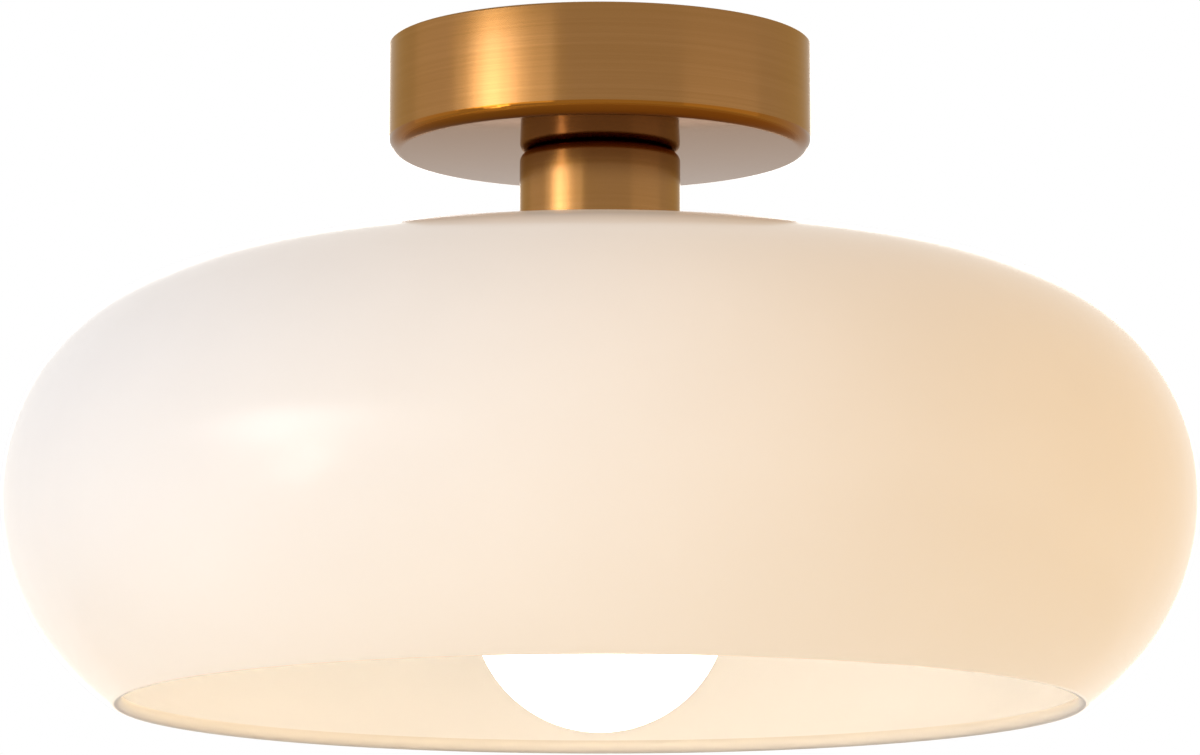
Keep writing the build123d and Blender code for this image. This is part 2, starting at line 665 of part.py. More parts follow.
def bulb_base():
    """The bulb's threaded shell."""
    inner = SCREW_CORE_RADIUS - BASE_WALL
    shell = lathe(
        (inner, BASE_BOTTOM_Z),
        (SCREW_CORE_RADIUS, BASE_BOTTOM_Z),
        (SCREW_CORE_RADIUS, BASE_TOP_Z - BASE_SHOULDER),
        (INSULATOR_RADIUS, BASE_TOP_Z),
        (INSULATOR_RADIUS - BASE_WALL, BASE_TOP_Z),
        (INSULATOR_RADIUS - BASE_WALL, BASE_TOP_Z - BASE_WALL),
        (inner, BASE_TOP_Z - BASE_SHOULDER - BASE_WALL),
    )
    ridge = thread_ridge(
        SCREW_CORE_RADIUS - THREAD_BITE,
        SCREW_CREST_RADIUS,
        ROOT_HALF_WIDTH,
        CREST_HALF_WIDTH,
        SCREW_PITCH,
        BASE_BOTTOM_Z + SCREW_PITCH,
        BASE_TOP_Z - BASE_SHOULDER - ROOT_HALF_WIDTH,
        SHELL_THREAD_Z + SCREW_PITCH / 2,
    )
    return shell + ridge


def bulb_housing():
    """The bulb's white body: a plug in the shell, a neck, and a cone that runs on into the diffuser."""
    neck_inner = HOUSING_NECK_RADIUS - HOUSING_WALL
    plug = SCREW_CORE_RADIUS - BASE_WALL - PIECE_GAP
    inner_corner_z = DIFFUSER_TOP_Z + (SEAM_INNER_RADIUS - neck_inner) / math.tan(SEAM_ANGLE)
    plug_top = BASE_BOTTOM_Z + HOUSING_PLUG_LENGTH
    neck_stop = BASE_BOTTOM_Z - HOUSING_WALL
    outside = FilletPolyline(
        (SEAM_RADIUS, 0, DIFFUSER_TOP_Z),
        (HOUSING_NECK_RADIUS, 0, HOUSING_CORNER_Z),
        (HOUSING_NECK_RADIUS, 0, BASE_BOTTOM_Z),
        radius=HOUSING_SWEEP,
    )
    inside = FilletPolyline(
        (neck_inner, 0, neck_stop),
        (neck_inner, 0, inner_corner_z),
        (SEAM_INNER_RADIUS, 0, DIFFUSER_TOP_Z),
        radius=HOUSING_SWEEP + HOUSING_WALL,
    )
    over = Polyline(
        (HOUSING_NECK_RADIUS, 0, BASE_BOTTOM_Z),
        (plug, 0, BASE_BOTTOM_Z),
        (plug, 0, plug_top),
        (plug - HOUSING_WALL, 0, plug_top),
        (plug - HOUSING_WALL, 0, neck_stop),
        (neck_inner, 0, neck_stop),
    )
    close = Line((SEAM_INNER_RADIUS, 0, DIFFUSER_TOP_Z), (SEAM_RADIUS, 0, DIFFUSER_TOP_Z))
    body = turned(outside.edges() + over.edges() + inside.edges() + close.edges())
    ledge_bottom = DIFFUSER_TOP_Z + LED_BOARD_THICKNESS + PIECE_GAP
    ledge_r = led_board_radius() + HOUSING_WALL / 2
    return body + tube(led_board_radius() - LEDGE_WIDTH, ledge_r, ledge_bottom, ledge_bottom + HOUSING_WALL)


def led_board_radius():
    """The radius of the board that fits the housing's mouth."""
    return SEAM_INNER_RADIUS - LED_BOARD_THICKNESS * math.tan(SEAM_ANGLE) - LED_BOARD_CLEARANCE


def led_board():
    """The round board that carries the light-emitting chips."""
    return disc(led_board_radius(), DIFFUSER_TOP_Z, DIFFUSER_TOP_Z + LED_BOARD_THICKNESS)


def led_chips():
    """A circle of chips on the underside of the board."""
    chips = []
    for index in range(LED_COUNT):
        chip = block(LED_SIDE, LED_SIDE, DIFFUSER_TOP_Z - LED_HEIGHT, DIFFUSER_TOP_Z, LED_CIRCLE)
        chips.append(Rot(0, 0, 360 * index / LED_COUNT) * chip)
    return Compound(chips)


def driver_board():
    """The upright driver board inside the bulb's neck."""
    bottom = DIFFUSER_TOP_Z + LED_BOARD_THICKNESS
    return block(DRIVER_WIDTH, DRIVER_THICKNESS, bottom, bottom + DRIVER_LENGTH)


def driver_can():
    """The capacitor that stands against the driver board."""
    bottom = DIFFUSER_TOP_Z + LED_BOARD_THICKNESS + DRIVER_CAN_LIFT
    return disc(DRIVER_CAN_RADIUS, bottom, bottom + DRIVER_CAN_LENGTH, 0, DRIVER_THICKNESS / 2 + DRIVER_CAN_RADIUS)


def bulb_diffuser():
    """The bulb's round frosted diffuser, open at the top."""
    shell = Sphere(BULB_RADIUS) - Sphere(BULB_RADIUS - BULB_WALL)
    keep = disc(2 * BULB_RADIUS, -2 * BULB_RADIUS, DIFFUSER_ABOVE_CENTRE)
    return Pos(0, 0, BULB_CENTRE_Z) * (shell & keep)


def strap_nuts():
    """The nuts above and below the strap."""
    above = hex_nut(STRAP_FLAT_TOP_Z, STRAP_FLAT_TOP_Z + NUT_HEIGHT)
    below = hex_nut(STRAP_FLAT_UNDER_Z - NUT_HEIGHT, STRAP_FLAT_UNDER_Z)
    return Compound([above, below])


def cup_nut():
    """The nut that clamps the cup and the canopy."""
    return hex_nut(CAP_TOP_Z, CUP_NUT_TOP_Z)


def lock_washer():
    """The washer between the cup and its nut."""
    return tube(TUBE_RADIUS + TUBE_FIT, LOCK_WASHER_RADIUS, CUP_NUT_TOP_Z, CUP_TOP_Z - CUP_WALL)


def live_wire():
    return wire(1)


def neutral_wire():
    return wire(-1)


PARTS = [
    mounting_strap,
    strap_nuts,
    earth_washer,
    earth_screw,
    terminal_block,
    terminal_tubes,
    clamp_screws,
    block_screw,
    threaded_tube,
    live_wire,
    neutral_wire,
    canopy,
    socket_cup,
    lock_washer,
    cup_nut,
    socket_cap,
    socket_core,
    terminal_screws,
    centre_contact,
    shell_rivets,
    screw_shell,
    socket_skirt,
    upper_gasket,
    glass_shade,
    lower_gasket,
    shade_ring,
    bulb_tip,
    bulb_insulator,
    bulb_base,
    bulb_housing,
    driver_board,
    driver_can,
    led_board,
    led_chips,
    bulb_diffuser,
]

os.makedirs("parts", exist_ok=True)
for make in PARTS:
    shape = make()
    export_step(shape, f"parts/{make.__name__}.step")
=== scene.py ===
import json
import math

import bmesh
import bpy
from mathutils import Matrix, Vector


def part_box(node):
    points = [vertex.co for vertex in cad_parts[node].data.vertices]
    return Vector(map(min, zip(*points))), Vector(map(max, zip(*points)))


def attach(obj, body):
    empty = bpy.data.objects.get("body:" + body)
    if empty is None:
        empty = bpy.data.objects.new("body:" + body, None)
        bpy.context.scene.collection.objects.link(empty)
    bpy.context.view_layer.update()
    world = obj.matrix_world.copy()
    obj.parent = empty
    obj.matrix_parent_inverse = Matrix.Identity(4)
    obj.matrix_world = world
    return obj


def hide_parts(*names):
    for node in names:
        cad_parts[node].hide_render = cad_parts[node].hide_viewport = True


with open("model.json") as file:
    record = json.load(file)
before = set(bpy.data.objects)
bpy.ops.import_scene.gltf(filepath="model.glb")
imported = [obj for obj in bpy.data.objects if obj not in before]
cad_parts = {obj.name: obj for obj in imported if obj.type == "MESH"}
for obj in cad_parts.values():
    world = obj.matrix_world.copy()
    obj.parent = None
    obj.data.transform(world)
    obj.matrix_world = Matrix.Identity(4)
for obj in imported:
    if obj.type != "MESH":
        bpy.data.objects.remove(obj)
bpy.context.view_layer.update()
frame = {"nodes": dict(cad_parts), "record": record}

# Sizes of the turned pieces, in metres; their levels come from the frame
CANOPY_RADIUS = 0.050
CANOPY_WALL = 0.001
CANOPY_EDGE = 0.003
CANOPY_RIM_ROUND = 0.0005
CUP_RADIUS = 0.019
CUP_WALL = 0.001
CUP_EDGE = 0.0024
CUP_RIM_ROUND = 0.0003
TUBE_HOLE = 0.00506

SHADE_RADIUS = 0.140
SHADE_RIM_TO_EQUATOR = 0.0485
SHADE_CROWN_RADIUS = 0.427
SHADE_SIDE_RADIUS = 0.0525
SHADE_LOWER_RADIUS = 0.058
SHADE_WALL = 0.0035
NECK_HOLE = 0.0175
NECK_TOP_SEAT = 0.0205
NECK_UNDER_SEAT = 0.0275
NECK_BREAK = 0.0006

BULB_RADIUS = 0.030
BULB_WALL = 0.001

# Fineness of the turned meshes
TURNS_ROUND = 256
CHORD = 0.0022
FEWEST_STEPS = 10
MERGE_DISTANCE = 1e-6
SHARP_ANGLE = math.radians(40)
QUARTER = math.pi / 2

# Turned hairlines: noise drawn out round the axis
FINE_LINES = (14, 14, 5200)
FINE_DETAIL = 3
FINE_SHARE = 0.65
BROAD_LINES = (6, 6, 900)
BROAD_DETAIL = 2

# Tone drift: soft clouds and a fine speckle
CLOUD_SCALE = 20.0
CLOUD_DETAIL = 4.0
SPECKLE_SCALE = 900.0
SPECKLE_DETAIL = 2.0
NOISE_MIDDLE = 0.5
TONE_SPREAD = 0.2

# Brass: brushed and lacquered on the sides, polished under the canopy
BRASS_DARK = (0.250, 0.114, 0.028)
BRASS_LIGHT = (0.294, 0.140, 0.042)
BRASS_EDGE_TINT = (0.74, 0.60, 0.42, 1.0)
BRASS_CLOUDS = 28.0
BRASS_CLOUD_SHARE = 0.25
BRASS_GLOSS_SPREAD = 0.06
SATIN_ROUGHNESS = 0.23
SATIN_LINE_HEIGHT = 0.000003
SATIN_ANISOTROPY = 0.3
SATIN_ANISOTROPY_TURN = 0.25
LACQUER_WEIGHT = 0.18
LACQUER_ROUGHNESS = 0.12
POLISHED_DARK = (0.235, 0.080, 0.007)
POLISHED_LIGHT = (0.270, 0.098, 0.012)
POLISHED_EDGE_TINT = (0.80, 0.79, 0.75, 1.0)
POLISHED_ROUGHNESS = 0.09
POLISHED_LINE_HEIGHT = 0.000002

# Opal glass, its ground lip (partly painted shade) and a painted glow that stands in for the bulb's
# light coming through it
OPAL_DARK = (0.80, 0.775, 0.74)
OPAL_LIGHT = (0.86, 0.835, 0.80)
OPAL_IOR = 1.32
OPAL_ROUGHNESS = 0.20
OPAL_CLOUDS = 9.0
OPAL_GLOSS_SPREAD = 0.06
OPAL_WAVE_HEIGHT = 0.0004
# the ground lip's tones: dull ground glass, and partly painted shade, darker than the faces so that
# the lip doesn't show brighter under the bulb's light
GROUND_EDGE_AND_SHADE_DARK = (0.66, 0.60, 0.51)
GROUND_EDGE_AND_SHADE_LIGHT = (0.71, 0.65, 0.56)
GROUND_ROUGHNESS = 0.4
# painted glow: emission on the outer glass standing in for the bulb's light shining through,
# brighter at the rim than at the crown
PAINTED_GLOW_AT_RIM = (0.330, 0.235, 0.115, 1.0)
PAINTED_GLOW_AT_CROWN = (0.100, 0.067, 0.032, 1.0)
PAINTED_GLOW_STRENGTH = 1.0

# The bulb's dome
DOME_DARK = (0.90, 0.89, 0.87)
DOME_LIGHT = (0.95, 0.94, 0.92)
DOME_ROUGHNESS = 0.45
DOME_CLOUDS = 70.0
DOME_SPECKLE = 1800.0
DOME_GLOSS_SPREAD = 0.2
BULB_LIGHT = (1.0, 0.875, 0.70, 1.0)
BULB_STRENGTH = 10.3

# Bare metals: the record's slot, then the finish's name, its two tones and its roughness
METALS = {
    "plain_brass": ("bare_brass", (0.60, 0.42, 0.18), (0.78, 0.58, 0.28), 0.25),
    "zinc_steel": ("zinc_plate", (0.50, 0.51, 0.52), (0.68, 0.69, 0.70), 0.35),
    "shell_metal": ("plated_shell", (0.66, 0.62, 0.53), (0.80, 0.76, 0.67), 0.25),
    "bulb_base_metal": ("rolled_base", (0.62, 0.61, 0.59), (0.78, 0.77, 0.74), 0.22),
}
METAL_LINE_STRENGTH = 0.6
METAL_LINE_HEIGHT = 0.00001
METAL_CLOUDS = 60.0
METAL_CLOUD_SHARE = 0.5
METAL_GLOSS_SPREAD = 0.2

# Mouldings, laid out in the same way; the lacquer and the rubber each take one more value
MOULDINGS = {
    "clear_grey_plastic": ("block_plastic", (0.66, 0.66, 0.63), (0.76, 0.76, 0.73), 0.40),
    "wire_brown": ("brown_sleeve", (0.10, 0.035, 0.015), (0.15, 0.055, 0.025), 0.45),
    "wire_blue": ("blue_sleeve", (0.02, 0.07, 0.30), (0.03, 0.10, 0.40), 0.45),
    "white_phenolic": ("socket_moulding", (0.76, 0.75, 0.71), (0.82, 0.81, 0.77), 0.28),
    "porcelain": ("glazed_porcelain", (0.80, 0.79, 0.75), (0.86, 0.85, 0.81), 0.15),
    "bulb_insulator": ("black_glass", (0.010, 0.009, 0.009), (0.022, 0.020, 0.019), 0.25),
    "bulb_white": ("bulb_body", (0.78, 0.77, 0.75), (0.84, 0.83, 0.81), 0.40),
    "board_green": ("green_board", (0.02, 0.10, 0.03), (0.03, 0.15, 0.05), 0.35),
    "can_black": ("black_sleeve", (0.012, 0.012, 0.014), (0.025, 0.025, 0.028), 0.30),
    "board_white": ("white_board", (0.76, 0.76, 0.75), (0.82, 0.82, 0.81), 0.40),
    "chip_yellow": ("yellow_phosphor", (0.72, 0.50, 0.08), (0.85, 0.62, 0.12), 0.40),
}
GREEN_LACQUER = ("green_lacquer", (0.03, 0.22, 0.06), (0.05, 0.30, 0.09), 0.35)
GREEN_METALLIC = 0.5
PALE_RUBBER = ("pale_rubber", (0.66, 0.65, 0.61), (0.74, 0.73, 0.69), 0.6)
RUBBER_SKIN = 0.00003
MOULDED_SKIN = 0.00001
MOULDED_CLOUDS = 45.0
MOULDED_SPECKLE = 1500.0
MOULDED_GLOSS_SPREAD = 0.15

# Camera, fitted to the photograph's outline of the shade
PHOTO_WIDTH = 1200
FOCAL_PIXELS = 6480
SENSOR_WIDTH = 36.0
CAMERA_BACK = 1.5084
CAMERA_BELOW_RIM = 0.1543
CAMERA_PITCH = math.radians(8.757)

# White background and pale floor
WHITE = (1, 1, 1, 1)
FLOOR_DROP = 0.8
FLOOR_RADIUS = 2.9
FLOOR_SEGMENTS = 96
FLOOR_DARK = (0.84, 0.84, 0.83)
FLOOR_LIGHT = (0.88, 0.88, 0.87)
FLOOR_ROUGHNESS = 0.9
FLOOR_CLOUDS = 1.5
FLOOR_LIFT = 0.25

# Lamps: azimuths in degrees from the front towards the left, heights from the middle of the
# light; the soft panels lie one over another, so that their edges fade
DAYLIGHT = (0.98, 0.99, 1.0)
LAMPLIGHT = (1.0, 0.93, 0.84)
LAMPS = {
    "key": {
        "azimuth": 53, "distance": 3.15, "height": -0.22,
        "size": (0.40, 0.56), "power": 4.3, "colour": DAYLIGHT,
    },
    "low": {
        "azimuth": 58, "distance": 3.15, "height": -0.60,
        "size": (0.34, 0.34), "power": 1.6, "colour": DAYLIGHT,
    },
    "soft_inner": {
        "azimuth": 60, "distance": 3.20, "height": 0.10,
        "size": (0.56, 1.50), "power": 6.2, "colour": DAYLIGHT,
    },
    "soft_middle": {
        "azimuth": 60, "distance": 3.25, "height": 0.44,
        "size": (1.19, 0.84), "power": 6.6, "colour": DAYLIGHT,
    },
    "soft_outer": {
        "azimuth": 60, "distance": 3.30, "height": 0.54,
        "size": (1.84, 0.66), "power": 7.2, "colour": DAYLIGHT,
    },
    "soft_wide": {
        "azimuth": 61, "distance": 3.35, "height": 0.60,
        "size": (2.85, 0.54), "power": 5.2, "colour": DAYLIGHT,
    },
    "panel": {
        "azimuth": 38, "distance": 3.4, "height": 0.40,
        "size": (1.60, 1.12), "power": 6.5, "colour": DAYLIGHT,
    },
    "side": {
        "azimuth": 100, "distance": 3.7, "height": 0.48,
        "size": (2.56, 1.76), "power": 3.2, "colour": LAMPLIGHT,
    },
    "fill": {
        "azimuth": -70, "distance": 3.5, "height": 0.0,
        "size": (3.20, 1.60), "power": 4.3, "colour": LAMPLIGHT,
    },
    "back": {
        "azimuth": 180, "distance": 3.8, "height": 0.8,
        "size": (1.90, 1.90), "power": 25.0, "colour": DAYLIGHT,
    },
}

# Soft light from all round: its middle, and how it changes to the right, backwards and upwards
AMBIENT_MIDDLE = (0.385, 0.306, 0.270)
AMBIENT_ACROSS = (0.40, 0.12, -0.21)
AMBIENT_DEPTH = (-0.34, -0.34, -0.34)
AMBIENT_UP = (0.22, 0.22, 0.20)
DARKEST = (0, 0, 0)


def level(node, top):
    """The highest z of a node of the frame, or the lowest if top is False."""
    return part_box(node)[1 if top else 0][2]


def arc(centre, radius, start, end):
    """Points (radius, height) of an arc about centre, at angles from the outward direction."""
    steps = max(FEWEST_STEPS, math.ceil(abs(end - start) * radius / CHORD))
    angles = [start + (end - start) * index / steps for index in range(steps + 1)]
    return [(centre[0] + radius * math.cos(a), centre[1] + radius * math.sin(a)) for a in angles]


def turned_mesh(name, chains):
    """A mesh turned about the Z axis, from chains of (radius, height) points with a finish each."""
    bm = bmesh.new()
    for finish, chain in chains:
        made = len(bm.faces)
        verts = [bm.verts.new((radius, 0, height)) for radius, height in chain]
        edges = [bm.edges.new(pair) for pair in zip(verts, verts[1:])]
        bmesh.ops.spin(
            bm,
            geom=verts + edges,
            cent=(0, 0, 0),
            axis=(0, 0, 1),
            dvec=(0, 0, 0),
            angle=2 * math.pi,
            steps=TURNS_ROUND,
            use_merge=True,
        )
        bm.faces.ensure_lookup_table()
        for face in bm.faces[made:]:
            face.material_index = finish
    bmesh.ops.remove_doubles(bm, verts=bm.verts, dist=MERGE_DISTANCE)
    bmesh.ops.recalc_face_normals(bm, faces=bm.faces)
    mesh = bpy.data.meshes.new(name)
    bm.to_mesh(mesh)
    bm.free()
    mesh.shade_smooth()
    mesh.set_sharp_from_angle(angle=SHARP_ANGLE)
    return mesh


def turned_piece(name, node, body, chains, finishes):
    """A turned piece that stands for a node of the frame and rides on its body."""
    piece = bpy.data.objects.new(name, turned_mesh(name, chains))
    bpy.context.scene.collection.objects.link(piece)
    for finish in finishes:
        piece.data.materials.append(finish)
    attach(piece, body)
    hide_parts(node)


def canopy_chains():
    """The drum: rounded rim and straight side, the lower edge and the underside, the inside."""
    top, bottom = level("canopy", True), level("canopy", False)
    inner = CANOPY_RADIUS - CANOPY_WALL
    rim = (CANOPY_RADIUS - CANOPY_RIM_ROUND, top - CANOPY_RIM_ROUND)
    edge = (CANOPY_RADIUS - CANOPY_EDGE, bottom + CANOPY_EDGE)
    side = [(inner, top)] + arc(rim, CANOPY_RIM_ROUND, QUARTER, 0) + [(CANOPY_RADIUS, edge[1])]
    underside = arc(edge, CANOPY_EDGE, 0, -QUARTER) + [(TUBE_HOLE, bottom)]
    inside = [(TUBE_HOLE, bottom), (TUBE_HOLE, bottom + CANOPY_WALL)]
    inside += arc(edge, CANOPY_EDGE - CANOPY_WALL, -QUARTER, 0) + [(inner, top)]
    return [(0, side), (1, underside), (0, inside)]


def cup_chains():
    """The cup: rounded shoulder under the canopy, straight side, open below."""
    top, bottom = level("socket_cup", True), level("socket_cup", False)
    roof = (TUBE_HOLE, top - CUP_WALL)
    edge = (CUP_RADIUS - CUP_EDGE, top - CUP_EDGE)
    rim = (CUP_RADIUS - CUP_RIM_ROUND, bottom + CUP_RIM_ROUND)
    outline = [roof, (TUBE_HOLE, top)] + arc(edge, CUP_EDGE, QUARTER, 0)
    outline += arc(rim, CUP_RIM_ROUND, 0, -QUARTER) + [(CUP_RADIUS - CUP_WALL, bottom)]
    outline += arc(edge, CUP_EDGE - CUP_WALL, 0, QUARTER) + [roof]
    return [(0, outline)]


def shade_chains():
    """The opal shade: crown, side and lower arcs at tangents, the lip, the inner wall and the neck.

    The rounded lip is finished like the outside down to its lowest point, and ground from there in.
    """
    top = level("glass_shade", True)
    side_r = SHADE_RADIUS - SHADE_SIDE_RADIUS
    lower_r = SHADE_RADIUS - SHADE_LOWER_RADIUS
    rise = math.sqrt((SHADE_CROWN_RADIUS - SHADE_SIDE_RADIUS) ** 2 - side_r**2)
    crown = (0, top - math.sqrt(SHADE_CROWN_RADIUS**2 - NECK_TOP_SEAT**2))
    side = (side_r, crown[1] + rise)
    lower = (lower_r, side[1])
    inner_crown = SHADE_CROWN_RADIUS - SHADE_WALL
    seat = math.acos(NECK_TOP_SEAT / SHADE_CROWN_RADIUS)
    under_seat = math.acos(NECK_UNDER_SEAT / inner_crown)
    shoulder = math.atan2(rise, side_r)
    lip = SHADE_WALL / 2
    middle = SHADE_LOWER_RADIUS - lip
    drop = -math.asin((SHADE_RIM_TO_EQUATOR - lip) / middle)
    lip_centre = (lower_r + middle * math.cos(drop), side[1] + middle * math.sin(drop))
    under = crown[1] + math.sqrt(inner_crown**2 - NECK_UNDER_SEAT**2)
    outside = [(NECK_HOLE, top - NECK_BREAK), (NECK_HOLE + NECK_BREAK, top)]
    outside += arc(crown, SHADE_CROWN_RADIUS, seat, shoulder)
    outside += arc(side, SHADE_SIDE_RADIUS, shoulder, 0)
    outside += arc(lower, SHADE_LOWER_RADIUS, 0, drop)
    outside += arc(lip_centre, lip, drop, -QUARTER)
    ground = arc(lip_centre, lip, -QUARTER, drop - math.pi)
    inside = arc(lower, SHADE_LOWER_RADIUS - SHADE_WALL, drop, 0)
    inside += arc(side, SHADE_SIDE_RADIUS - SHADE_WALL, 0, shoulder)
    inside += arc(crown, inner_crown, shoulder, under_seat)
    inside += [(NECK_HOLE + NECK_BREAK, under), (NECK_HOLE, under + NECK_BREAK), outside[0]]
    return [(0, outside), (1, ground), (2, inside)]


def dome_chains():
    """The bulb's dome: a sphere cut off above its middle, with an even wall."""
    bottom, top = level("bulb_diffuser", False), level("bulb_diffuser", True)
    centre = (0, bottom + BULB_RADIUS)
    inner = BULB_RADIUS - BULB_WALL
    cut = top - centre[1]
    outline = arc(centre, BULB_RADIUS, -QUARTER, math.asin(cut / BULB_RADIUS))
    outline += arc(centre, inner, math.asin(cut / inner), -QUARTER)
    return [(0, outline)]


def new_group(name, inputs, outputs):
    """An empty shader node group with float inputs (name, default) and float outputs."""
    tree = bpy.data.node_groups.new(name, "ShaderNodeTree")
    for label, value in inputs:
        socket = tree.interface.new_socket(
            name=label, in_out="INPUT", socket_type="NodeSocketFloat"
        )
        socket.default_value = value
    for label in outputs:
        tree.interface.new_socket(name=label, in_out="OUTPUT", socket_type="NodeSocketFloat")
    return tree, tree.nodes.new("NodeGroupInput"), tree.nodes.new("NodeGroupOutput")


def set_inputs(tree, node, values):
    """Sets a node's inputs in order, each from a socket or a plain value."""
    for socket, value in zip(node.inputs, values):
        if isinstance(value, bpy.types.NodeSocket):
            tree.links.new(value, socket)
        else:
            socket.default_value = value


def math_node(tree, operation, *values):
    """A Math node; each operand is a socket or a number."""
    node = tree.nodes.new("ShaderNodeMath")
    node.operation = operation
    set_inputs(tree, node, values)
    return node.outputs["Value"]


def vector_node(tree, operation, *values):
    """A Vector Math node; each operand is a socket or a vector."""
    node = tree.nodes.new("ShaderNodeVectorMath")
    node.operation = operation
    set_inputs(tree, node, values)
    return node.outputs["Vector"]


def coordinate(tree, kind):
    """The separate X, Y and Z of a texture coordinate."""
    node = tree.nodes.new("ShaderNodeSeparateXYZ")
    tree.links.new(tree.nodes.new("ShaderNodeTexCoord").outputs[kind], node.inputs["Vector"])
    return node.outputs


def colour_mix(tree, factor, low, high):
    """A colour between two colours."""
    node = tree.nodes.new("ShaderNodeMix")
    node.data_type = "RGBA"
    node.inputs["A"].default_value = low
    node.inputs["B"].default_value = high
    tree.links.new(factor, node.inputs["Factor"])
    return node.outputs["Result"]


def stretched_noise(tree, stretch, detail):
    """Noise on Object coordinates stretched by a vector."""
    mapping = tree.nodes.new("ShaderNodeMapping")
    mapping.inputs["Scale"].default_value = stretch
    coordinates = tree.nodes.new("ShaderNodeTexCoord").outputs["Object"]
    tree.links.new(coordinates, mapping.inputs["Vector"])
    noise = tree.nodes.new("ShaderNodeTexNoise")
    noise.inputs["Scale"].default_value = 1.0
    noise.inputs["Detail"].default_value = detail
    tree.links.new(mapping.outputs["Vector"], noise.inputs["Vector"])
    return noise.outputs["Fac"]


def make_hairlines():
    """Fine lines round the axis, from brushing on a lathe, and only on the upright faces."""
    tree, given, result = new_group("turned hairlines", [("Strength", 1.0)], ["Lines"])
    fine = stretched_noise(tree, FINE_LINES, FINE_DETAIL)
    broad = stretched_noise(tree, BROAD_LINES, BROAD_DETAIL)
    broad_part = math_node(tree, "MULTIPLY", broad, 1 - FINE_SHARE)
    lines = math_node(tree, "MULTIPLY_ADD", fine, FINE_SHARE, broad_part)
    flat = math_node(tree, "ABSOLUTE", coordinate(tree, "Normal")["Z"])
    upright = math_node(tree, "SUBTRACT", 1.0, flat)
    masked = math_node(tree, "MULTIPLY", math_node(tree, "SUBTRACT", lines, NOISE_MIDDLE), upright)
    strong = math_node(tree, "MULTIPLY", masked, given.outputs["Strength"])
    tree.links.new(strong, result.inputs["Lines"])
    return tree


def make_drift():
    """A soft cloudy value about zero, for small changes of tone and gloss, with a fine speckle."""
    scales = [("Scale", CLOUD_SCALE), ("Speckle Scale", SPECKLE_SCALE)]
    tree, given, result = new_group("tone drift", scales, ["Drift", "Speckle"])
    coordinates = tree.nodes.new("ShaderNodeTexCoord").outputs["Object"]
    kinds = (("Drift", "Scale", CLOUD_DETAIL), ("Speckle", "Speckle Scale", SPECKLE_DETAIL))
    for label, source, detail in kinds:
        noise = tree.nodes.new("ShaderNodeTexNoise")
        noise.inputs["Detail"].default_value = detail
        tree.links.new(coordinates, noise.inputs["Vector"])
        tree.links.new(given.outputs[source], noise.inputs["Scale"])
        centred = math_node(tree, "SUBTRACT", noise.outputs["Fac"], NOISE_MIDDLE)
        tree.links.new(centred, result.inputs[label])
    return tree


HAIRLINES = make_hairlines()
DRIFT = make_drift()


def new_material(name, **sockets):
    """A material with a Principled shader whose plain sockets are set by name."""
    material = bpy.data.materials.new(name)
    material.use_nodes = True
    shader = material.node_tree.nodes["Principled BSDF"]
    for label, value in sockets.items():
        shader.inputs[label.replace("_", " ")].default_value = value
    return material, material.node_tree, shader


def place_group(tree, group, **values):
    """A node group placed in a material, with its own values."""
    node = tree.nodes.new("ShaderNodeGroup")
    node.node_tree = group
    for label, value in values.items():
        node.inputs[label.replace("_", " ")].default_value = value
    return node


def toned(tree, shader, value, low, high):
    """Base Color from a value about zero, between two colours."""
    ramp = tree.nodes.new("ShaderNodeValToRGB")
    for element, sign, colour in zip(ramp.color_ramp.elements, (-1, 1), (low, high)):
        element.position = NOISE_MIDDLE + sign * TONE_SPREAD
        element.color = (*colour, 1)
    tree.links.new(math_node(tree, "ADD", value, NOISE_MIDDLE), ramp.inputs["Fac"])
    tree.links.new(ramp.outputs["Color"], shader.inputs["Base Color"])


def roughened(tree, shader, value, middle, amount):
    """Roughness about a middle value."""
    roughness = math_node(tree, "MULTIPLY_ADD", value, amount, middle)
    tree.links.new(roughness, shader.inputs["Roughness"])


def bumped(tree, shader, value, height):
    """A fine relief of the given height in metres."""
    bump = tree.nodes.new("ShaderNodeBump")
    bump.inputs["Distance"].default_value = height
    tree.links.new(value, bump.inputs["Height"])
    tree.links.new(bump.outputs["Normal"], shader.inputs["Normal"])


def brass(name, low, high, roughness, line_height, **sockets):
    """Brass with turned hairlines of the given height."""
    material, tree, shader = new_material(name, Metallic=1.0, **sockets)
    lines = place_group(tree, HAIRLINES).outputs["Lines"]
    drift = place_group(tree, DRIFT, Scale=BRASS_CLOUDS).outputs["Drift"]
    tone = math_node(tree, "MULTIPLY_ADD", drift, BRASS_CLOUD_SHARE, lines)
    toned(tree, shader, tone, low, high)
    roughened(tree, shader, drift, roughness, BRASS_GLOSS_SPREAD)
    bumped(tree, shader, lines, line_height)
    return material


def satin_brass():
    """The brushed, lacquered sides of the canopy and the cup; the gloss runs across the lines."""
    return brass(
        "satin_brass",
        BRASS_DARK,
        BRASS_LIGHT,
        roughness=SATIN_ROUGHNESS,
        line_height=SATIN_LINE_HEIGHT,
        Anisotropic=SATIN_ANISOTROPY,
        Anisotropic_Rotation=SATIN_ANISOTROPY_TURN,
        Specular_Tint=BRASS_EDGE_TINT,
        Coat_Weight=LACQUER_WEIGHT,
        Coat_Roughness=LACQUER_ROUGHNESS,
    )


def polished_brass():
    """The lower edge and underside of the canopy, which mirror the cup."""
    return brass(
        "polished_brass",
        POLISHED_DARK,
        POLISHED_LIGHT,
        roughness=POLISHED_ROUGHNESS,
        line_height=POLISHED_LINE_HEIGHT,
        Specular_Tint=POLISHED_EDGE_TINT,
    )


